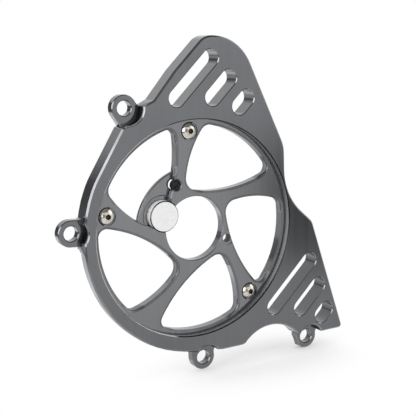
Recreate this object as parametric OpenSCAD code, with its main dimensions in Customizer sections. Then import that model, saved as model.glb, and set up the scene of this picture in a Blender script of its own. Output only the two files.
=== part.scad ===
// Sprocket cover for a chain-drive motorcycle, milled from plate: an outer plate with
// two slotted ears and four lugs, and a five-spoke disc screwed into its round recess.
// It stands as fitted: X to the right, Z up, front face to -Y, back (mounting) face at Y = 0.
// The origin is the bottom lug's hole at the back face. Sizes across the plate are written from
// the middle of the centre hole, and upright() moves them to the origin. Millimetres.

/* [Outer plate] */
// thickness of the plate
plate_t = 9.5; // [8:0.5:12]
// radius of the round recess that takes the spoke disc
recess_r = 53; // [52.5:0.1:53.5]
// height of the ledge behind the disc, from the back face
ledge_t = 3; // [2.5:0.1:4]
// width of that ledge
ledge_w = 1.8; // [1.4:0.1:2.2]
// how far the plate's round left side lies outside the recess
rim_wall = 9; // [8:0.5:10]
// middle of that round side
rim_mid = [3, 0.5];
// 45 degree break on the edge of the recess
edge_break = 0.5; // [0.3:0.1:0.6]

/* [Outline of the ears and foot] */
// right side, upwards: [x, z, corner radius]
right_line = [[86.4, -65.5, 1.6], [67.6, -5, 7], [51, 10.4, 30], [51, 35.6, 16]];
// left side of the top ear, downwards
left_line = [[-9.5, 76.4, 6], [-20.8, 63.5, 1.2], [-27, 60.8], [-31, 54.2], [-37.3, 52, 1.2],
             [-53.2, 27, 40]];
// foot, from left to right
foot_line = [[-2, -61.9], [8.5, -62.6], [12, -63.3, 3], [25.2, -63.3, 5], [28, -60.5], [41, -65],
             [57, -64.4], [64, -63], [70, -64], [73, -65.5, 2]];
// where the ear's flat top ends, and the corner radius there
ear_shoulder = [6.8, 9];
// middle of the big round on the ear
ear_mid = [10.5, 68];
// radius of that round
ear_r = 23.8; // [22:0.2:25]

/* [Slots] */
// width of every slot
slot_w = 8.5; // [6:0.5:9]
// slope of every slot in degrees
slot_angle = 43.4; // [42:0.2:45]
// slots in the top ear: [distance across the slope, start, end]
top_slots = [[52.3, 37.4, 63], [38.3, 50.9, 63.2], [24.3, 58, 63.2]];
// slots in the lower ear
low_slots = [[-63.4, -0.5, 29.7], [-77.3, 9, 24], [-90.9, 14.2, 17.9]];

/* [Mounting lugs] */
// thickness of a lug, from the back face
lug_t = 4.5; // [3.5:0.5:6]
// outer radius of a lug
lug_r = 6.3; // [6:0.1:7]
// radius of the M6 clearance hole
lug_hole_r = 3.5; // [3.2:0.1:3.7]
// break on the front edge of a lug hole
lug_break = 0.4; // [0.2:0.1:0.5]
// each lug: [x, z, heading towards the plate, neck length left, neck length right,
// radius of the room cut into the plate for its bolt head]
lugs = [[-33.8, 60.5, -58, 3.4, 6.4, 7.5],
        [-63.3, 5.6, -5, 4.8, 5, 6.4],
        [3.2, -66.8, 92, 5.8, 3.2, 7.2],
        [65.8, -68, 90, 4.5, 2.5, 7.2]];
// the lug whose hole is the origin, counted from 0
datum = 2; // [0:1:3]
// how far a neck's corners lean into the plate
neck_lean = 1.5; // [1:0.5:2.5]

/* [Rebate on the back, lower left] */
// height of the rebate, from the back face
rebate_h = 4; // [3:0.5:5]
// how far it goes in from the round side
rebate_w = 3; // [2:0.5:4]
// its two ends in degrees round the middle of the round side
rebate_ends = [183, 258];

/* [Bottom edge] */
// middle of the round notch
notch_mid = [41, -77];
// radius of the notch
notch_r = 21; // [20:0.5:21.5]

/* [Spoke disc] */
// how far the disc's face lies behind the plate's face
disc_sink = 3.2; // [2:0.1:3.5]
// gap between the back of the disc and the mounting plane
disc_back = 1.2; // [0.8:0.1:1.6]
// radial clearance of the disc in its recess
disc_gap = 0.1; // [0.05:0.05:0.3]
// number of spokes
spokes = 5;
// radius of the centre hole
centre_r = 15.7; // [14:0.1:16]
// break on the front edge of the centre hole
centre_break = 0.4; // [0.2:0.1:0.6]

/* [Windows between the spokes] */
// from the recess's edge to the outer arc of a window
disc_rim = 2.4; // [2.2:0.1:3]
// radius of the arc along the spoke
flank_r = 48.2; // [46:0.2:50]
// heading of that arc's middle in degrees
flank_heading = 22.43; // [20:0.1:25]
// how far that arc passes beyond the centre
flank_past = 0.49; // [0.2:0.01:1]
// radius of the arc along the hub
base_r = 68.4; // [66:0.2:71]
// heading of that arc's middle in degrees
base_heading = 80.45; // [78:0.1:83]
// how near the centre that arc comes
hub_edge = 18.4; // [18:0.1:19]
// corner radii: at the hub, at the rim along the spoke, at the far tip
hub_corner = 6; // [5:0.5:7]
rim_corner = 5; // [4:0.5:6]
tip_corner = 4; // [3:0.5:5]
// sloping break on the windows' front edges: width across the face
window_break = 1.2; // [0.6:0.1:1.2]
// depth of that break
window_break_t = 0.7; // [0.4:0.1:1]

/* [Low land in the first window] */
// outer radius of the land
land_r = 30; // [28:0.5:31]
// its top, from the back face
land_top = 3.3; // [3:0.1:4]
// depth of the spot face round the cap
land_spot = 0.4; // [0.2:0.1:0.5]
// radius of that spot face
land_spot_r = 9.6; // [9:0.1:10.5]

/* [Holes in the disc] */
// two through holes: [x, z, radius, spot face radius]
disc_holes = [[-9.3, 22.2, 2.7, 0], [17.8, -7.4, 2.1, 3.6]];
// depth of the spot face
hole_spot = 0.4; // [0.2:0.1:0.8]
// break on the front edge of the first hole
hole_break = 0.5; // [0.2:0.1:0.6]

/* [Plug in the first hole] */
// thickness of the plug
plug_t = 1.6; // [1:0.1:2.5]
// how far it stands behind the disc's face
plug_sink = 0.5; // [0.3:0.1:1]
// radial clearance of the plug
plug_gap = 0.05; // [0.03:0.01:0.1]

/* [Round cap] */
// middle of the cap
cap_mid = [-16.2, 7.8];
// radius of the cap
cap_r = 7.6; // [7:0.1:8]
// break on its front edge
cap_break = 0.5; // [0.3:0.1:0.8]
// radius of its stem
cap_stem_r = 3; // [2.5:0.1:4]
// radial clearance of the cap and its stem
cap_gap = 0.06; // [0.03:0.01:0.15]

/* [Disc screws, M4 button head] */
// how far the screws stand inside the recess's edge
screw_in = 5.6; // [5.2:0.1:6]
// headings of the three screws, on the first, second and fourth spoke
screw_at = [91.5, 165.8, 309.3];
// shank radius
screw_r = 2; // [1.9:0.05:2.1]
// head radius
head_r = 3.8; // [3.6:0.1:4]
// head height
head_h = 2.2; // [2:0.1:2.4]
// straight side under the dome
head_side = 0.4; // [0.3:0.1:0.6]
// hex socket across flats
socket_af = 2.5; // [2.4:0.1:2.6]
// socket depth
socket_t = 1.3; // [1.1:0.1:1.5]
// depth of the seat cut into the spoke
seat_t = 0.5; // [0.3:0.1:0.8]
// radial room round the head in its seat
seat_gap = 0.7; // [0.5:0.1:0.8]
// radial clearance of the shank in the spoke
shank_gap = 0.25; // [0.15:0.05:0.3]
// radial clearance that stands for the thread
thread_gap = 0.03; // [0.02:0.01:0.06]
// radius of the tab that takes the thread
tab_r = 4.6; // [4.4:0.1:5]
// how far the tab's back lies in front of the mounting plane
tab_back = 0.5; // [0:0.1:1]
// room between a tab and the spoke beside it
tab_gap = 0.3; // [0.2:0.1:0.5]

/* [Hidden] */
spread = recess_r / 53;                // the ears, slots and lugs keep their place round the recess
rim_r = recess_r + rim_wall;
window_r = recess_r - disc_rim;
screw_circle = recess_r - screw_in;
places = [for (l = lugs) [l[0] * spread, l[1] * spread, l[2], l[3], l[4], l[5]]];
face_y = plate_t - disc_sink;          // front face of the disc, from the back face
disc_r = recess_r - disc_gap;
step_r = recess_r - ledge_w - disc_gap - 0.1;
seat_y = face_y - seat_t;
cap_foot = land_top - land_spot;
pitch = 360 / spokes;
over = 0.5;
meet = 0.004;                          // a window's corner arcs run this far past its sides
arc_step = 5;
$fn = 96;

// geometry helpers
function unit(v) = v / norm(v);
function polar(r, a) = [r * cos(a), r * sin(a)];
function spaced(path) = [for (p = path) p * spread];
function wrap(a) = a > 180 ? a - 360 : a < -180 ? a + 360 : a;
function arc(mid, r, from, to) =
    let (n = max(2, ceil(abs(to - from) / arc_step)))
    [for (i = [0:n]) mid + polar(r, from + (to - from) * i / n)];
function fillet(a, p, b, r) =
    let (u = unit(a - p), v = unit(b - p), half = acos(u * v) / 2,
         mid = p + unit(u + v) * r / sin(half),
         s = p + u * r / tan(half) - mid, e = p + v * r / tan(half) - mid,
         a0 = atan2(s.y, s.x))
    arc(mid, r, a0, a0 + wrap(atan2(e.y, e.x) - a0));
function flat(p) = [p.x, p.y];
// rounds each corner [x, z, r] of a closed path; a corner without r stays sharp
function rounded(path) =
    let (n = len(path))
    [for (i = [0:n - 1])
        each len(path[i]) > 2
            ? fillet(flat(path[(i + n - 1) % n]), flat(path[i]), flat(path[(i + 1) % n]), path[i][2])
            : [path[i]]];
// where two circles cross, on the side given by +1 or -1
function crossing(m1, r1, m2, r2, side) =
    let (d = norm(m2 - m1), u = (m2 - m1) / d, x = (d * d + r1 * r1 - r2 * r2) / (2 * d),
         y = sqrt(r1 * r1 - x * x))
    m1 + x * u + side * y * [-u.y, u.x];

module upright() translate([-places[datum].x, 0, -places[datum].y]) rotate([90, 0, 0]) children();
module layer(from, to) translate([0, 0, from]) linear_extrude(to - from) children();
module at(p) translate([p.x, p.y]) children();

// outer plate
module plate_outline() {
    difference() {
        polygon(rounded(concat(
            spaced(right_line),
            arc(ear_mid * spread, ear_r * spread, 24, 88),
            [[ear_shoulder.x, ear_mid.y + ear_r, ear_shoulder.y] * spread],
            spaced(left_line),
            arc(rim_mid, rim_r, 162, 258),
            spaced(foot_line))));
        at(notch_mid * spread) circle(notch_r * spread);
    }
}
module lug_outline(lug) {
    mid = [lug[0], lug[1]];
    in = polar(1, lug[2]);
    left = [-in.y, in.x];
    a = mid + lug_r * left + lug[3] * in;
    b = mid - lug_r * left + lug[4] * in;
    c = a + 3.5 * left + neck_lean * in;
    d = b - 3.5 * left + neck_lean * in;
    polygon(rounded(concat(
        [c, [a.x, a.y, 2.5]], arc(mid, lug_r, lug[2] + 90, lug[2] + 270),
        [[b.x, b.y, 2.5], d, d + 4 * in, c + 4 * in])));
}
module sector(r, ends)
    polygon(concat([[0, 0]], arc([0, 0], r, ends[0], ends[1])));
module slot(s)
    rotate(slot_angle) translate([0, s[0]]) {
        for (u = [s[1], s[2]]) translate([u, 0]) circle(d = slot_w);
        translate([s[1], -slot_w / 2]) square([s[2] - s[1], slot_w]);
    }
module screw_places() for (a = screw_at) at(polar(screw_circle, a)) children();

module outer_plate() color("dimgray") upright() {
    difference() {
        union() {
            layer(0, plate_t) plate_outline();
            layer(0, lug_t) difference() {
                for (lug = places) lug_outline(lug);
                at(notch_mid * spread) circle(notch_r * spread);
            }
        }
        layer(-over, rebate_h) difference() {
            at(rim_mid) sector(rim_r + 5, rebate_ends);
            at(rim_mid) circle(rim_r - rebate_w, $fn = 180);
            for (lug = places) lug_outline(lug);
        }
        for (lug = places) at(lug) {
            translate([0, 0, lug_t]) cylinder(r = lug[5], h = plate_t);
            translate([0, 0, -over]) cylinder(r = lug_hole_r, h = plate_t);
            translate([0, 0, lug_t - lug_break])
                cylinder(r1 = lug_hole_r, r2 = lug_hole_r + lug_break + 0.01, h = lug_break + 0.01);
        }
        layer(-over, plate_t + over) for (s = concat(top_slots, low_slots)) slot(s * spread);
        translate([0, 0, -over]) cylinder(r = recess_r - ledge_w, h = plate_t + 2 * over, $fn = 180);
        translate([0, 0, ledge_t]) cylinder(r = recess_r, h = plate_t, $fn = 180);
        translate([0, 0, plate_t - edge_break])
            cylinder(r1 = recess_r, r2 = recess_r + edge_break + 0.01, h = edge_break + 0.01, $fn = 180);
    }
    screw_places() difference() {
        translate([0, 0, tab_back]) cylinder(r = tab_r, h = ledge_t - tab_back);
        translate([0, 0, -over]) cylinder(r = screw_r + thread_gap, h = ledge_t + 2 * over);
    }
}

// spoke disc
flank_arc = flank_r * spread;
base_arc = base_r * spread;
flank_mid = polar(flank_arc - flank_past, flank_heading);
base_mid = polar(hub_edge + base_arc, base_heading);
// a window is bounded by three arcs, each [middle, radius]
outer_side = [[0, 0], window_r];
flank_side = [flank_mid, flank_arc];
base_side = [base_mid, base_arc];
// its corners: two sides, corner radius, and which crossing of the two sides it is
corners = [[flank_side, base_side, hub_corner, 1],
           [outer_side, flank_side, rim_corner, 1],
           [outer_side, base_side, tip_corner, -1]];
function corner_mid(c) = crossing(c[0][0], c[0][1] - c[2], c[1][0], c[1][1] - c[2], c[3]);
module corner_wedge(c) {
    mid = corner_mid(c);
    tip = crossing(c[0][0], c[0][1], c[1][0], c[1][1], c[3]);
    reach = 0.5 + window_break;
    polygon([mid, c[0][0] + unit(mid - c[0][0]) * (c[0][1] + reach),
             tip + unit(tip - mid) * (3 + 2 * window_break),
             c[1][0] + unit(mid - c[1][0]) * (c[1][1] + reach)]);
}
module window() difference() {
    intersection_for (side = [outer_side, flank_side, base_side])
        at(side[0]) circle(side[1], $fn = 180);
    for (c = corners) difference() {
        corner_wedge(c);
        at(corner_mid(c)) circle(c[2] + meet);
    }
}
// the slope round a window's front edge
module window_slope() translate([0, 0, face_y - window_break_t]) difference() {
    grow = window_break * 1.1;
    h = window_break_t * 1.1;
    intersection_for (side = [outer_side, flank_side, base_side])
        at(side[0]) cylinder(r1 = side[1], r2 = side[1] + grow, h = h, $fn = 180);
    for (c = corners) difference() {
        translate([0, 0, -over]) linear_extrude(h + 2 * over) corner_wedge(c);
        at(corner_mid(c)) {
            cylinder(r1 = c[2] + meet, r2 = c[2] + meet + grow, h = h);
            translate([0, 0, -2 * over]) cylinder(r = c[2] + meet, h = 2 * over);
            translate([0, 0, h]) cylinder(r = c[2] + meet + grow, h = 2 * over);
        }
    }
}
module spoke_disc() color("slategray") upright() {
    difference() {
        union() {
            translate([0, 0, ledge_t]) cylinder(r = disc_r, h = face_y - ledge_t, $fn = 180);
            translate([0, 0, disc_back]) cylinder(r = step_r, h = face_y - disc_back, $fn = 180);
        }
        for (k = [0:spokes - 1]) if (k != 1)
            layer(disc_back - over, face_y + over) rotate(k * pitch) window();
        for (k = [0:spokes - 1]) rotate(k * pitch) window_slope();
        layer(land_top, face_y + over) rotate(pitch) window();
        layer(disc_back - over, face_y + over) difference() {
            rotate(pitch) window();
            circle(land_r, $fn = 180);
        }
        layer(cap_foot, land_top + 0.01) intersection() {
            rotate(pitch) window();
            at(cap_mid) circle(land_spot_r);
        }
        at(cap_mid) {
            translate([0, 0, cap_foot]) cylinder(r = cap_r + cap_gap, h = plate_t);
            cylinder(r = cap_stem_r + cap_gap, h = plate_t);
        }
        cylinder(r = centre_r, h = plate_t);
        translate([0, 0, face_y - centre_break])
            cylinder(r1 = centre_r, r2 = centre_r + centre_break + 0.01, h = centre_break + 0.01);
        for (h = disc_holes) at(h) {
            cylinder(r = h[2], h = plate_t);
            if (h[3] > 0) translate([0, 0, face_y - hole_spot]) cylinder(r = h[3], h = plate_t);
        }
        at(disc_holes[0]) translate([0, 0, face_y - hole_break])
            cylinder(r1 = disc_holes[0][2], r2 = disc_holes[0][2] + hole_break + 0.01, h = hole_break + 0.01);
        screw_places() {
            cylinder(r = screw_r + shank_gap, h = plate_t);
            translate([0, 0, seat_y]) cylinder(r = head_r + seat_gap, h = plate_t);
            cylinder(r = tab_r + tab_gap, h = ledge_t);
        }
    }
}

// round cap on the low land
module round_cap() color("gainsboro") upright() at(cap_mid) {
    translate([0, 0, cap_foot]) cylinder(r = cap_r, h = face_y - cap_break - cap_foot);
    translate([0, 0, face_y - cap_break]) cylinder(r1 = cap_r, r2 = cap_r - cap_break, h = cap_break);
    translate([0, 0, disc_back]) cylinder(r = cap_stem_r, h = cap_foot - disc_back + 0.1);
}

// plug that closes the front of the first hole
module hole_plug() color("black") upright() at(disc_holes[0])
    translate([0, 0, face_y - plug_sink - plug_t]) cylinder(r = disc_holes[0][2] - plug_gap, h = plug_t);

// screws
module screw(heading) color("silver") upright() at(polar(screw_circle, heading)) {
    dome = head_h - head_side;
    ball = (head_r * head_r + dome * dome) / (2 * dome);
    difference() {
        union() {
            translate([0, 0, seat_y]) cylinder(r = head_r, h = head_side);
            intersection() {
                translate([0, 0, seat_y + head_h - ball]) sphere(ball);
                translate([0, 0, seat_y]) cylinder(r = head_r + 0.01, h = head_h + 1);
            }
            translate([0, 0, tab_back]) cylinder(r = screw_r, h = seat_y - tab_back + 0.1);
        }
        translate([0, 0, seat_y + head_h - socket_t])
            cylinder(d = socket_af / cos(30), h = socket_t + 1, $fn = 6);
    }
}

outer_plate();
spoke_disc();
round_cap();
hole_plug();
screw(screw_at[0]);  // top_screw
screw(screw_at[1]);  // left_screw
screw(screw_at[2]);  // lower_screw
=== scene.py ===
import math
import bmesh
import bpy
from mathutils import Matrix, Vector


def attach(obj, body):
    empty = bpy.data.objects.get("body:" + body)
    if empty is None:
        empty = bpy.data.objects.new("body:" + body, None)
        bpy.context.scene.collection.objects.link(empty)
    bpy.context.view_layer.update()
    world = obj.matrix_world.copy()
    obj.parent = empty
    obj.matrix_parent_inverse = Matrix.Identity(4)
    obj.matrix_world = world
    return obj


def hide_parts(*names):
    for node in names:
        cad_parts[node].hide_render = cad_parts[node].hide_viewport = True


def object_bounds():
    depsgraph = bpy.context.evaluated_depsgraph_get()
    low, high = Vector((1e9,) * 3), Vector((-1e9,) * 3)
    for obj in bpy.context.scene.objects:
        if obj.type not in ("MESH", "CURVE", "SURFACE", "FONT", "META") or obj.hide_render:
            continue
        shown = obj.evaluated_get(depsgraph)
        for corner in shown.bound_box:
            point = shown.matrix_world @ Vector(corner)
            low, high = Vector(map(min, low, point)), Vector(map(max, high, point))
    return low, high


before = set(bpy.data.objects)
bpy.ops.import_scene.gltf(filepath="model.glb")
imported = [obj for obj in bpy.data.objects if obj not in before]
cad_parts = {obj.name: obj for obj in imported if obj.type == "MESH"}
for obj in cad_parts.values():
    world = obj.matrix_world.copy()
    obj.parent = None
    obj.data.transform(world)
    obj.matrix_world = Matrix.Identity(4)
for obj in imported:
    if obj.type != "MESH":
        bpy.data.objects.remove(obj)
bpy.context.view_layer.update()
print("frame loaded:", sorted(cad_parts))

mm = 0.001


class Wire:
    # one output of a node; sums on it add Math nodes to the same tree
    def __init__(self, tree, socket):
        self.tree, self.socket = tree, socket

    def out(self, name):
        return Wire(self.tree, self.socket.node.outputs[name])

    def math(self, how, *values):
        return self.tree.node("ShaderNodeMath", {"operation": how}, dict(enumerate(values)))

    def __add__(self, other): return self.math("ADD", self, other)
    def __radd__(self, other): return self.math("ADD", other, self)
    def __sub__(self, other): return self.math("SUBTRACT", self, other)
    def __rsub__(self, other): return self.math("SUBTRACT", other, self)
    def __mul__(self, other): return self.math("MULTIPLY", self, other)
    def __rmul__(self, other): return self.math("MULTIPLY", other, self)
    def __truediv__(self, other): return self.math("DIVIDE", self, other)
    def __rtruediv__(self, other): return self.math("DIVIDE", other, self)
    def __mod__(self, other): return self.math("MODULO", self, other)


class Tree:
    def __init__(self, nodeTree):
        self.tree = nodeTree
        self.tree.nodes.clear()

    def node(self, kind, settings=None, sockets=None):
        made = self.tree.nodes.new(kind)
        for key, value in (settings or {}).items():
            if key == "stops":
                ramp = made.color_ramp
                while len(ramp.elements) < len(value):
                    ramp.elements.new(0.5)
                for stop, (place, shade) in zip(ramp.elements, value):
                    stop.position = place
                    stop.color = (*shade, 1) if isinstance(shade, tuple) else (shade, shade, shade, 1)
            else:
                setattr(made, key, value)
        for key, value in (sockets or {}).items():
            if isinstance(value, Wire):
                self.tree.links.new(value.socket, made.inputs[key])
            else:
                made.inputs[key].default_value = value
        return Wire(self, made.outputs[0]) if made.outputs else None

    def coords(self, scale=(1, 1, 1), turn=(0, 0, 0), place=(0, 0, 0)):
        spot = self.node("ShaderNodeTexCoord").out("Object")
        return self.node("ShaderNodeMapping", None,
                         {"Vector": spot, "Location": place, "Rotation": turn, "Scale": scale})

    def noise(self, vector, detail=3.0, rough=0.5):
        return self.node("ShaderNodeTexNoise", None,
                         {"Vector": vector, "Scale": 1.0, "Detail": detail, "Roughness": rough})

    def ease(self, value, low, high, to0=0.0, to1=1.0):
        return self.node("ShaderNodeMapRange", {"interpolation_type": "SMOOTHSTEP"},
                         {"Value": value, "From Min": low, "From Max": high, "To Min": to0, "To Max": to1})

    def shade(self, factor, dark, light):
        return self.node("ShaderNodeMix", {"data_type": "RGBA"},
                         {0: factor, 6: (*dark, 1), 7: (*light, 1)}).out(2)


def finish(name):
    made = bpy.data.materials.new(name)
    made.use_nodes = True
    return made, Tree(made.node_tree)


def close(tree, surface):
    tree.node("ShaderNodeOutputMaterial", None, {"Surface": surface})


anodised = {
    "plate": {"dark": (0.190, 0.193, 0.203), "light": (0.208, 0.212, 0.222), "rough": 0.115, "grain": 0.06},
    "disc": {"dark": (0.236, 0.239, 0.250), "light": (0.258, 0.262, 0.273), "rough": 0.11, "grain": 0.06},
    "edge": {"dark": (0.215, 0.219, 0.230), "light": (0.30, 0.305, 0.315), "rough": 0.17, "grain": 0.08},
    "dull": {"dark": (0.17, 0.173, 0.182), "light": (0.22, 0.224, 0.234), "rough": 0.42, "grain": 0.1},
    # lighter, rougher copy of the anodised finish: painted light on the recess wall
    "roughPaintedLight": {"dark": (0.26, 0.264, 0.275), "light": (0.31, 0.315, 0.326), "rough": 0.6, "grain": 0.05},
    # light copy of the anodised finish: painted highlight on the recess break
    "paintedHighlight": {"dark": (0.50, 0.505, 0.515), "light": (0.62, 0.625, 0.635), "rough": 0.25, "grain": 0.1},
    # dark copy of the anodised finish: painted shade in pockets, on seat floors and on breaks
    "shade": {"dark": (0.013, 0.014, 0.016), "light": (0.036, 0.038, 0.042), "rough": 0.3, "grain": 0.1},
    "streak": (420, 420, 9),      # fine lines across X, long along Z
    "band": (60, 60, 14),         # slow bands of the same direction
    "bump": 0.00002,
}


def anodisedFinish(name, look):
    made, tree = finish(name)
    fine = tree.noise(tree.coords(anodised["streak"]), 4.0, 0.6)
    slow = tree.noise(tree.coords(anodised["band"]), 2.0)
    cloud = tree.noise(tree.coords((45, 45, 45)), 2.0)
    tone = tree.ease(fine * 0.4 + slow * 0.25 + cloud * 0.35, 0.36, 0.64)
    bump = tree.node("ShaderNodeBump", None, {"Strength": 0.13, "Distance": anodised["bump"], "Height": fine})
    close(tree, tree.node("ShaderNodeBsdfPrincipled", None, {
        "Base Color": tree.shade(tone, look["dark"], look["light"]),
        "Metallic": 1.0,
        "Roughness": look["rough"] + fine * look["grain"] - slow * 0.04,
        "Normal": bump}))
    return made


threadLook = {"pitch": 0.8, "depth": 0.00016, "dark": (0.05, 0.05, 0.055), "light": (0.13, 0.13, 0.14)}


def threadFinish():
    # rings of a thread, one every pitch along Y; the dark colour, darker in the valleys, is painted shade in the hole
    made, tree = finish("tappedWall")
    spot = tree.node("ShaderNodeSeparateXYZ", None, {0: tree.node("ShaderNodeTexCoord").out("Object")})
    wave = spot.math("SINE", spot.out("Y") * (2 * math.pi / (threadLook["pitch"] * mm))) * 0.5 + 0.5
    grain = tree.noise(tree.coords((900, 900, 900)), 3.0)
    bump = tree.node("ShaderNodeBump", None, {"Strength": 1.0, "Distance": threadLook["depth"], "Height": wave})
    close(tree, tree.node("ShaderNodeBsdfPrincipled", None, {
        "Base Color": tree.shade(tree.ease(wave * 0.8 + grain * 0.2, 0.1, 0.9), threadLook["dark"], threadLook["light"]),
        "Metallic": 1.0,
        "Roughness": 0.3 + grain * 0.15,
        "Normal": bump}))
    return made


# the side pair is lighter than the face: painted light on the cap's side wall
capLook = {"face": ((0.70, 0.70, 0.70), (0.74, 0.74, 0.74)), "edge": ((0.07, 0.07, 0.075), (0.14, 0.14, 0.15)),
           "side": ((0.86, 0.86, 0.86), (0.90, 0.90, 0.90))}


def capFinish(name, pair, metal, rough):
    made, tree = finish(name)
    grain = tree.noise(tree.coords((900, 900, 900)), 2.0)
    tone = tree.ease(grain, 0.35, 0.65)
    bump = tree.node("ShaderNodeBump", None, {"Strength": 0.1, "Distance": 0.00002, "Height": grain})
    close(tree, tree.node("ShaderNodeBsdfPrincipled", None, {
        "Base Color": tree.shade(tone, *pair),
        "Metallic": metal,
        "Roughness": rough + grain * 0.1,
        "Normal": bump}))
    return made


def steelFinish(name, dark, light, rough):
    # the turned head shows faint rings of grain
    made, tree = finish(name)
    grain = tree.noise(tree.coords((1500, 1500, 1500)), 2.0)
    stain = tree.noise(tree.coords((300, 300, 300)), 2.0)
    close(tree, tree.node("ShaderNodeBsdfPrincipled", None, {
        "Base Color": tree.shade(tree.ease(grain * 0.5 + stain * 0.5, 0.3, 0.7), dark, light),
        "Metallic": 1.0,
        "Roughness": rough + grain * 0.08}))
    return made


def plugFinish():
    made, tree = finish("blackPlug")
    grain = tree.noise(tree.coords((1600, 1600, 1600)), 3.0)
    spots = tree.noise(tree.coords((700, 700, 700)), 2.0)
    bump = tree.node("ShaderNodeBump", None, {"Strength": 0.6, "Distance": 0.0001, "Height": spots})
    close(tree, tree.node("ShaderNodeBsdfPrincipled", None, {
        "Base Color": tree.shade(tree.ease(grain * 0.4 + spots * 0.6, 0.38, 0.62), (0.002, 0.0025, 0.0025), (0.022, 0.024, 0.022)),
        "Roughness": 0.45 + grain * 0.2,
        "Specular IOR Level": 0.25,
        "Normal": bump}))
    return made


plateFinish = anodisedFinish("anodisedPlate", anodised["plate"])
discFinish = anodisedFinish("anodisedDisc", anodised["disc"])
edges = anodisedFinish("brokenEdge", anodised["edge"])
dulled = anodisedFinish("dulledSlope", anodised["dull"])
# painted light, with more roughness: a lighter copy of the anodised finish
roughPaintedLight = anodisedFinish("roughWallPaintedLight", anodised["roughPaintedLight"])
# painted highlight: a light copy of the anodised finish
paintedHighlight = anodisedFinish("paintedHighlightEdge", anodised["paintedHighlight"])
# painted shade: a dark copy of the anodised finish
paintedShade = anodisedFinish("paintedShadeFinish", anodised["shade"])
tapped = threadFinish()
print("finishes made")


def tidyCopy(node):
    # the node's loose triangles, merged
    work = bmesh.new()
    work.from_mesh(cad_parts[node].data)
    bmesh.ops.remove_doubles(work, verts=work.verts, dist=2e-6)
    work.normal_update()
    return work


def breakEdges(work, y, out, shape, sizeAt, slot=1):
    # breaks the edge round the flat at height y that faces out (-1 front, 1 back), where a straight wall falls
    # from it. shape is a list of (in, down) from the wall to the flat, and sizeAt gives its size at a corner.
    flat = {f for f in work.faces if f.normal.y * out > 0.999 and abs(f.calc_center_median().y - y) < 2e-6}
    rim, sides = [], {}
    for face in flat:
        for loop in face.loops:
            other = [f for f in loop.edge.link_faces if f not in flat]
            if len(other) != 1:
                continue
            a, b = loop.vert, loop.link_loop_next.vert
            inward = face.normal.cross(b.co - a.co).normalized()
            falls = abs(other[0].normal.y) < 0.05 and (other[0].calc_center_median().y - y) * out < 0
            rim.append((a, b))
            for v in (a, b):
                sides.setdefault(v, []).append((inward, falls))
    bmesh.ops.delete(work, geom=list(flat), context="FACES")
    steps = {}
    for v, pair in sides.items():
        size = sizeAt(v.co) if len(pair) == 2 and pair[0][1] and pair[1][1] else 0
        if not size:
            steps[v] = [v] * len(shape)
            continue
        miter = (pair[0][0] + pair[1][0]) / max(0.25, 1 + pair[0][0].dot(pair[1][0]))
        here = v.co.copy()
        places = [here + miter * size * x - Vector((0, out * size * down, 0)) for x, down in shape]
        v.co = places[0]
        steps[v] = [v] + [work.verts.new(place) for place in places[1:]]
    ring = []
    for a, b in rim:
        for k in range(len(shape) - 1):
            corners = []
            for v in (steps[a][k], steps[b][k], steps[b][k + 1], steps[a][k + 1]):
                if v not in corners:
                    corners.append(v)
            if len(corners) > 2:
                work.faces.new(corners).material_index = slot
        ends = (steps[a][-1], steps[b][-1])
        ring.append(work.edges.get(ends) or work.edges.new(ends))
    filled = bmesh.ops.triangle_fill(work, use_beauty=True, edges=ring, normal=(0, out, 0))["geom"]
    for face in [f for f in filled if isinstance(f, bmesh.types.BMFace)]:
        face.normal_update()
        if face.normal.y * out < 0:
            face.normal_flip()
    work.normal_update()


chamfer = [(0, 1), (1, 0)]


def piece(name, work, node, slots, smooth=28):
    mesh = bpy.data.meshes.new(name)
    work.to_mesh(mesh)
    work.free()
    for slot in slots:
        mesh.materials.append(slot)
    mesh.shade_smooth()
    mesh.set_sharp_from_angle(angle=math.radians(smooth))
    for face in mesh.polygons:
        if abs(face.normal.y) > 0.999:
            face.use_smooth = False
    made = bpy.data.objects.new(name, mesh)
    bpy.context.scene.collection.objects.link(made)
    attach(made, "root")
    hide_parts(*((node,) if isinstance(node, str) else node))
    return made


hub = (-3.2 * mm, 66.8 * mm)      # middle of the centre hole: X and Z
plateLook = {
    "outline": 0.8 * mm, "slot": 0.4 * mm, "lug": 0.4 * mm, "back": 0.3 * mm,
    "slope": math.radians(43.4),      # slots: [across the slope, start, end] in mm round the hub
    "slots": [(52.3, 37.4, 63), (38.3, 50.9, 63.2), (24.3, 58, 63.2),
              (-63.4, -0.5, 29.7), (-77.3, 9, 24), (-90.9, 14.2, 17.9)],
    # lugs: X, Z and radius in mm round the hub of the room for the bolt head
    "rooms": [(-33.8, 60.5, 7.5), (-63.3, 5.6, 6.4), (3.2, -66.8, 7.2), (65.8, -68, 7.2)],
    "recess": 53.0,      # radius in mm
    # left of this the recess break carries a painted highlight, right of it painted shade
    "recessPaintedLight": -14 * mm,      # its break is bright left of this
}


def fromHub(spot):
    return spot.x - hub[0], spot.z - hub[1]


def plateEdge(spot):
    x, z = fromHub(spot)
    c, s = math.cos(plateLook["slope"]), math.sin(plateLook["slope"])
    along, across = (x * c + z * s) / mm, (z * c - x * s) / mm
    for row, start, end in plateLook["slots"]:
        if abs(across - row) < 4.4 and start - 4.4 < along < end + 4.4:
            return plateLook["slot"]
    return plateLook["outline"]


# finds the walls of the rooms round the lug bolt heads, which get painted shade
def isRoomWall(face):
    if abs(face.normal.y) > 0.05 or face.calc_center_median().y > -4.4 * mm:
        return False
    x, z = fromHub(face.calc_center_median())
    return any(math.hypot(x / mm - rx, z / mm - rz) < radius + 0.1 for rx, rz, radius in plateLook["rooms"])


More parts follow.
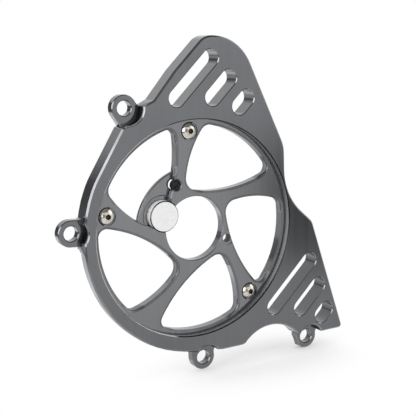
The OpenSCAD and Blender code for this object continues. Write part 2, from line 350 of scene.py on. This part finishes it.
def recessSlot(face):
    # the sloping break round the recess is 4, a painted highlight, on its left and 2, painted shade, elsewhere, where
    # the wall under it is 3, painted light
    x, z = fromHub(face.calc_center_median())
    around = math.hypot(x, z) / mm - plateLook["recess"]
    if abs(around) > 0.6:
        return face.material_index
    lit = x < plateLook["recessPaintedLight"]
    if 0.3 < -face.normal.y < 0.95:
        return 4 if lit else 2
    return face.material_index if lit or abs(face.normal.y) > 0.05 else 3


work = tidyCopy("outer_plate")
breakEdges(work, -9.5 * mm, -1, chamfer, plateEdge)
breakEdges(work, -4.5 * mm, -1, chamfer, lambda spot: plateLook["lug"])
breakEdges(work, 0, 1, chamfer, lambda spot: plateLook["back"])
for face in work.faces:
    if isRoomWall(face):
        face.material_index = 2
    else:
        face.material_index = recessSlot(face)
piece("milledPlate", work, "outer_plate", [plateFinish, edges, paintedShade, roughPaintedLight, paintedHighlight])
print("plate made")

discLook = {"small": 0.25 * mm, "land": 0.5 * mm, "face": 6.3 * mm, "landTop": 3.3 * mm, "back": 1.2 * mm,
            "seatFloor": 5.8 * mm,
            "seats": (47.4, (91.5, 165.8, 309.3), 4.6),      # screw circle, headings, radius in mm
            # the seat floor's half at this heading carries painted shade
            "paintedShadeSide": math.radians(155),      # heading of the seat floor's shaded half
            "tapped": [(-9.3, 22.2, 2.8), (17.8, -7.4, 2.2)],      # X, Z and radius in mm round the hub
            "ring": (-16.2, 7.8, 9.6)}      # the step in the land round the cap


def discSlot(face):
    # 2: painted shade on one half of a screw seat's floor, 3: walls of the two holes,
    # 4: sloping breaks and the ring round the cap, else as it was
    x, z = fromHub(face.calc_center_median())
    for hx, hz, radius in discLook["tapped"]:
        if abs(face.normal.y) < 0.05 and math.hypot(x / mm - hx, z / mm - hz) < radius:
            return 3
    circle, headings, radius = discLook["seats"]
    for heading in headings:
        sx, sz = circle * math.cos(math.radians(heading)), circle * math.sin(math.radians(heading))
        near = max(math.hypot(fromHub(v.co)[0] / mm - sx, fromHub(v.co)[1] / mm - sz) for v in face.verts)
        if near < radius and abs(face.calc_center_median().y + discLook["seatFloor"]) < 0.01 * mm:
            way = math.atan2(z / mm - sz, x / mm - sx) - discLook["paintedShadeSide"]
            return 2 if math.cos(way) > -0.1 else 0
    rx, rz, radius = discLook["ring"]
    onRing = abs(face.normal.y) < 0.05 and abs(math.hypot(x / mm - rx, z / mm - rz) - radius) < 0.4
    if face.material_index == 0 and (onRing or 0.2 < -face.normal.y < 0.95):
        return 4
    return face.material_index


work = tidyCopy("spoke_disc")
breakEdges(work, -discLook["landTop"], -1, chamfer, lambda spot: discLook["land"], 4)
breakEdges(work, -discLook["back"], 1, chamfer, lambda spot: discLook["small"])
for face in work.faces:
    face.material_index = discSlot(face)
piece("swirlDisc", work, "spoke_disc", [discFinish, edges, paintedShade, tapped, dulled])
print("disc made")

work = tidyCopy("round_cap")
for face in work.faces:
    face.material_index = 1 if 0.1 < -face.normal.y < 0.9 else 2 if abs(face.normal.y) < 0.1 else 0
# the cap's break is dark metal: painted shade along its outline
piece("roundCap", work, "round_cap",
      [capFinish("satinCap", capLook["face"], 0.0, 0.42), capFinish("capEdgePaintedShade", capLook["edge"], 1.0, 0.3),
       capFinish("capSidePaintedLight", capLook["side"], 0.0, 0.5)])

plugLook = {"around": 48, "spot": (-9.3, 22.2), "front": 5.8, "back": 4.2, "radius": 2.65,
            "rings": [(0.0, 0.5), (0.9, 0.5), (1.1, 0.15), (1.5, 0.12), (1.7, 0.3), (1.95, 0.3), (2.15, 0.04),
                      (2.4, 0.0), (2.55, 0.06), (2.65, 0.2)]}      # radius and depth under its front, in mm


def revolved(rings, around, spot):
    # a closed body turned round an axis along Y; rings run from the front's middle to the back's middle
    work = bmesh.new()
    loops = []
    for radius, y in rings:
        if radius == 0:
            loops.append([work.verts.new((spot[0], y, spot[1]))] * around)
            continue
        turns = [2 * math.pi * i / around for i in range(around)]
        loops.append([work.verts.new((spot[0] + radius * math.cos(t), y, spot[1] + radius * math.sin(t))) for t in turns])
    for near, far in zip(loops, loops[1:]):
        for i in range(around):
            corners = []
            for v in (near[i], near[(i + 1) % around], far[(i + 1) % around], far[i]):
                if v not in corners:
                    corners.append(v)
            work.faces.new(corners)
    bmesh.ops.recalc_face_normals(work, faces=work.faces)
    return work


rings = [(r * mm, -(plugLook["front"] - down) * mm) for r, down in plugLook["rings"]]
rings += [(plugLook["radius"] * mm, -plugLook["back"] * mm), (0, -plugLook["back"] * mm)]
plugSpot = (hub[0] + plugLook["spot"][0] * mm, hub[1] + plugLook["spot"][1] * mm)
piece("holePlug", revolved(rings, plugLook["around"], plugSpot), "hole_plug", [plugFinish()])
print("cap and plug made")

screwLook = {
    "circle": 47.4, "headings": (91.5, 165.8, 309.3), "seat": 5.8,      # places, in mm and degrees
    "sizes": {"Head radius": 3.8, "Head height": 2.2, "Straight side": 0.4, "Across flats": 2.5,
              "Socket depth": 1.3, "Shank radius": 2.0, "Shank length": 5.3},
    "around": 72, "domeRings": (0.47, 0.56, 0.65, 0.74, 0.82, 0.9, 0.96), "seed": 4,
}


def screwTree(steel, socket):
    # a button head turned from a grid, set on each point of the mesh that carries the modifier
    group = bpy.data.node_groups.new("discScrews", "GeometryNodeTree")
    group.interface.new_socket("Geometry", in_out="INPUT", socket_type="NodeSocketGeometry")
    group.interface.new_socket("Geometry", in_out="OUTPUT", socket_type="NodeSocketGeometry")
    for label, size in screwLook["sizes"].items():
        group.interface.new_socket(label, in_out="INPUT", socket_type="NodeSocketFloat").default_value = size * mm
    tree = Tree(group)
    given = tree.node("NodeGroupInput")
    head, height, flats = given.out("Head radius"), given.out("Head height"), given.out("Across flats")
    shank, length = given.out("Shank radius"), given.out("Shank length")
    dome = height - given.out("Straight side")
    ball = (head * head + dome * dome) / (dome * 2)
    # each ring: share of the hex, round radius, height over the seat (None is on the dome), drop under it
    foot = height - given.out("Socket depth")
    rings = [(0, 0, foot - 0.3 * mm, 0), (0, flats * 0.42, foot, 0), (1, 0, foot, 0), (1, 0, None, 0.1 * mm),
             (1, 0.12 * mm, None, 0)]
    rings += [(0, head * share, None, 0) for share in screwLook["domeRings"]]
    rings += [(0, head, None, 0), (0, head, 0.06 * mm, 0), (0, head - 0.06 * mm, 0, 0), (0, shank, 0, 0),
              (0, shank, 0.3 * mm - length, 0), (0, shank - 0.3 * mm, 0 - length, 0), (0, 0, 0 - length, 0)]
    last = len(rings) - 1
    grid = tree.node("GeometryNodeMeshGrid", None, {"Size X": 1.0, "Size Y": 1.0, "Vertices X": screwLook["around"] + 1,
                                                    "Vertices Y": last + 1})
    cell = tree.node("ShaderNodeSeparateXYZ", None, {0: tree.node("GeometryNodeInputPosition")})
    angle = (cell.out("X") + 0.5) * (2 * math.pi)
    ring = cell.math("ROUND", (cell.out("Y") + 0.5) * last)
    sixth = math.pi / 3
    hexagon = flats * 0.5 / cell.math("COSINE", (angle + sixth / 2) % sixth - sixth / 2)
    masks = [cell.math("COMPARE", ring, float(k), 0.1) for k in range(last + 1)]
    radius = sum(masks[k] * (share * hexagon + size) for k, (share, size, up, drop) in enumerate(rings))
    onDome = height - ball + cell.math("SQRT", ball * ball - radius * radius)
    rise = sum(masks[k] * ((onDome if up is None else up) - drop) for k, (share, size, up, drop) in enumerate(rings))
    place = tree.node("ShaderNodeCombineXYZ", None, {
        "X": radius * cell.math("COSINE", angle), "Y": 0 - rise, "Z": radius * cell.math("SINE", angle)})
    marked = tree.node("GeometryNodeStoreNamedAttribute", {"data_type": "FLOAT", "domain": "FACE"}, {
        "Geometry": grid, "Name": "socket", "Value": ring.math("LESS_THAN", ring, 2.6)})
    turned = tree.node("GeometryNodeSetPosition", None, {"Geometry": marked, "Position": place})
    body = tree.node("GeometryNodeMergeByDistance", None, {"Geometry": turned, "Distance": 0.002 * mm})
    twist = tree.node("FunctionNodeRandomValue", {"data_type": "FLOAT"},
                      {2: 0.0, 3: sixth, "Seed": screwLook["seed"]}).out(1)
    spin = tree.node("ShaderNodeCombineXYZ", None, {"Y": twist})
    many = tree.node("GeometryNodeInstanceOnPoints", None, {
        "Points": given.out("Geometry"), "Instance": body, "Rotation": spin})
    real = tree.node("GeometryNodeRealizeInstances", None, {"Geometry": many})
    bright = tree.node("GeometryNodeSetMaterial", None, {"Geometry": real, "Material": steel})
    inside = tree.node("GeometryNodeInputNamedAttribute", {"data_type": "FLOAT"}, {"Name": "socket"})
    dark = tree.node("GeometryNodeSetMaterial", None, {
        "Geometry": bright, "Selection": inside.math("GREATER_THAN", inside, 0.9), "Material": socket})
    tree.node("NodeGroupOutput", None, {"Geometry": dark})
    return group


places = []
for heading in screwLook["headings"]:
    turn = math.radians(heading)
    places.append((hub[0] + screwLook["circle"] * mm * math.cos(turn), -screwLook["seat"] * mm,
                   hub[1] + screwLook["circle"] * mm * math.sin(turn)))
spots = bpy.data.meshes.new("screwSpots")
spots.from_pydata(places, [], [])
holder = bpy.data.objects.new("discScrews", spots)
bpy.context.scene.collection.objects.link(holder)
# the socket's finish is dark: painted shade inside the hex socket
group = screwTree(steelFinish("polishedSteel", (0.66, 0.62, 0.55), (0.80, 0.76, 0.69), 0.13),
                  steelFinish("socketPaintedShade", (0.02, 0.017, 0.014), (0.07, 0.06, 0.05), 0.35))
maker = holder.modifiers.new("discScrews", "NODES")
maker.node_group = group
for item in group.interface.items_tree:
    if item.in_out == "INPUT" and item.name in screwLook["sizes"]:
        maker[item.identifier] = screwLook["sizes"][item.name] * mm
solid = bpy.data.meshes.new_from_object(holder.evaluated_get(bpy.context.evaluated_depsgraph_get()))
holder.modifiers.clear()
bpy.data.objects.remove(holder)
work = bmesh.new()
work.from_mesh(solid)
bmesh.ops.recalc_face_normals(work, faces=work.faces)
piece("discScrews", work, ("top_screw", "left_screw", "lower_screw"), list(solid.materials))
print("screws made")

low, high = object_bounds()
floorLook = {"half": 3.0, "near": 0.0, "far": 0.09}
floorMesh = bpy.data.meshes.new("floor")
reach = floorLook["half"]
floorMesh.from_pydata([(-reach, -reach, low.z), (reach, -reach, low.z), (reach, reach, low.z), (-reach, reach, low.z)],
                      [], [(0, 1, 2, 3)])
floor = bpy.data.objects.new("floor", floorMesh)
bpy.context.scene.collection.objects.link(floor)
white, tree = finish("paleFloor")
path = tree.node("ShaderNodeLightPath")
spread = tree.node("ShaderNodeVectorMath", {"operation": "LENGTH"},
                   {0: tree.coords((1, 1.4, 1), place=(-0.035, 0.02, -low.z))}).out("Value")
away = tree.ease(spread, floorLook["near"], floorLook["far"])
matte = tree.node("ShaderNodeBsdfDiffuse", None, {"Color": (0.93, 0.93, 0.93, 1)})
glow = tree.node("ShaderNodeEmission", None, {"Color": (1, 1, 1, 1), "Strength": 1.0})

ground = tree.node("ShaderNodeMixShader", None, {0: away, 1: matte, 2: glow})
clear = tree.node("ShaderNodeBsdfTransparent")
close(tree, tree.node("ShaderNodeMixShader", None, {0: path.out("Is Glossy Ray"), 1: ground, 2: clear}))
floorMesh.materials.append(white)

sky = bpy.data.worlds.new("studio")
bpy.context.scene.world = sky
sky.use_nodes = True
tree = Tree(sky.node_tree)
studio = {
    "level": 0.86, "seam": 80,
    # azimuth from the front face (-180 is behind it), elevation, soft edge, level
    "cards": [(-42, -10, -12, 26, 4, 0.3),        # round the camera
              (-92, -43, -1, 38, 3, 3.4),         # lit panel at the left
              (-95, -46, -24, -5, 3, 0.35),       # and below it
              (-8, 75, -60, -17, 4, 0.8),         # below, in front
              (95, 140, -20, 30, 6, 2.2),         # lit panel at the right
              (-80, 40, 41, 92, 4, 0.22), (40, 110, 48, 85, 4, 0.12),      # ceiling in front
              (48, 92, 14, 44, 4, 1.9),           # lit panel at the upper right
              (-162, -153, -16, 18, 1.5, 0.16), (-153, -138, 3, 17, 2, 0.32),      # dark screens behind
              (-148, -130, -20, 4, 3, 0.72), (-165, -130, 14, 38, 5, 0.7),
              (-178, -159, -34, -14, 4, 1.6), (-225, -166, -6, 30, 8, 1.2), (-230, -130, -92, -33, 4, 0.65),
              (90, 140, -75, -40, 5, 0.3),
              (33, 39, -14.5, -7.5, 1.8, 0.06), (15, 60, 0, 12, 2, 1.4)],
}
ray = tree.node("ShaderNodeTexCoord").out("Generated")
part = tree.node("ShaderNodeSeparateXYZ", None, {0: ray})
side, front = part.out("X"), 0 - part.out("Y")
c, s = math.cos(math.radians(studio["seam"])), math.sin(math.radians(studio["seam"]))
turn = side.math("ARCTAN2", side * c + front * s, front * c - side * s) * (180 / math.pi) - studio["seam"]
rise = side.math("ARCSINE", part.out("Z")) * (180 / math.pi)
level = studio["level"]
for west, east, foot, head, soft, shade in studio["cards"]:
    inside = (tree.ease(turn, west - soft, west + soft) * tree.ease(turn, east - soft, east + soft, 1.0, 0.0)
              * tree.ease(rise, foot - soft, foot + soft) * tree.ease(rise, head - soft, head + soft, 1.0, 0.0))
    level = level * (1 + inside * (shade - 1))
path = tree.node("ShaderNodeLightPath")
glossy = tree.node("ShaderNodeBackground", None, {"Color": (1, 1, 1, 1), "Strength": level})
plain = tree.node("ShaderNodeBackground", None, {"Color": (1, 1, 1, 1), "Strength": 1.0})
lit = tree.node("ShaderNodeMixShader", None, {0: path.out("Is Glossy Ray"), 1: plain, 2: glossy})
tree.node("ShaderNodeOutputWorld", None, {"Surface": lit})

lamps = {      # size and place in metres, power in watts
    "softLamp": {"size": 0.5, "power": 1.5, "spot": (0.5, -0.6, 0.8)},
    "leftLamp": {"size": 0.4, "power": 3.4, "spot": (-0.8, -0.15, 0.25)},
}
for name, look in lamps.items():
    lamp = bpy.data.lights.new(name, "AREA")
    lamp.shape, lamp.size, lamp.energy = "DISK", look["size"], look["power"]
    stand = bpy.data.objects.new(name, lamp)
    stand.location = look["spot"]
    stand.rotation_euler = (Vector(look["spot"]) - Vector((0, 0, 0.06))).to_track_quat("Z", "Y").to_euler()
    bpy.context.scene.collection.objects.link(stand)
    stand.visible_glossy = False      # the metal shows the panels of the studio only

shot = {"azimuth": -29.5363, "elevation": 11.1460, "roll": -1.8824, "distance": 473.089 * mm,
        "lens": 981.5667 / 416 * 36, "centre": (-3.2 * mm, -9.5 * mm, 66.8 * mm), "slide": (4.6484 * mm, 10.2901 * mm)}
az, el, roll = (math.radians(shot[k]) for k in ("azimuth", "elevation", "roll"))
back = Vector((math.sin(az) * math.cos(el), -math.cos(az) * math.cos(el), math.sin(el)))
level0 = Vector((math.cos(az), math.sin(az), 0))
upright = back.cross(level0)
right = level0 * math.cos(roll) + upright * math.sin(roll)
up = back.cross(right)
spot = Vector(shot["centre"]) + back * shot["distance"] + right * shot["slide"][0] + up * shot["slide"][1]
lens = bpy.data.cameras.new("camera")
lens.lens, lens.sensor_width = shot["lens"], 36
camera = bpy.data.objects.new("camera", lens)
camera.matrix_world = Matrix((
    (right.x, up.x, back.x, spot.x), (right.y, up.y, back.y, spot.y), (right.z, up.z, back.z, spot.z), (0, 0, 0, 1)))
bpy.context.scene.collection.objects.link(camera)
bpy.context.scene.camera = camera
bpy.context.scene.view_settings.view_transform = "Standard"
print("floor, light and camera set")
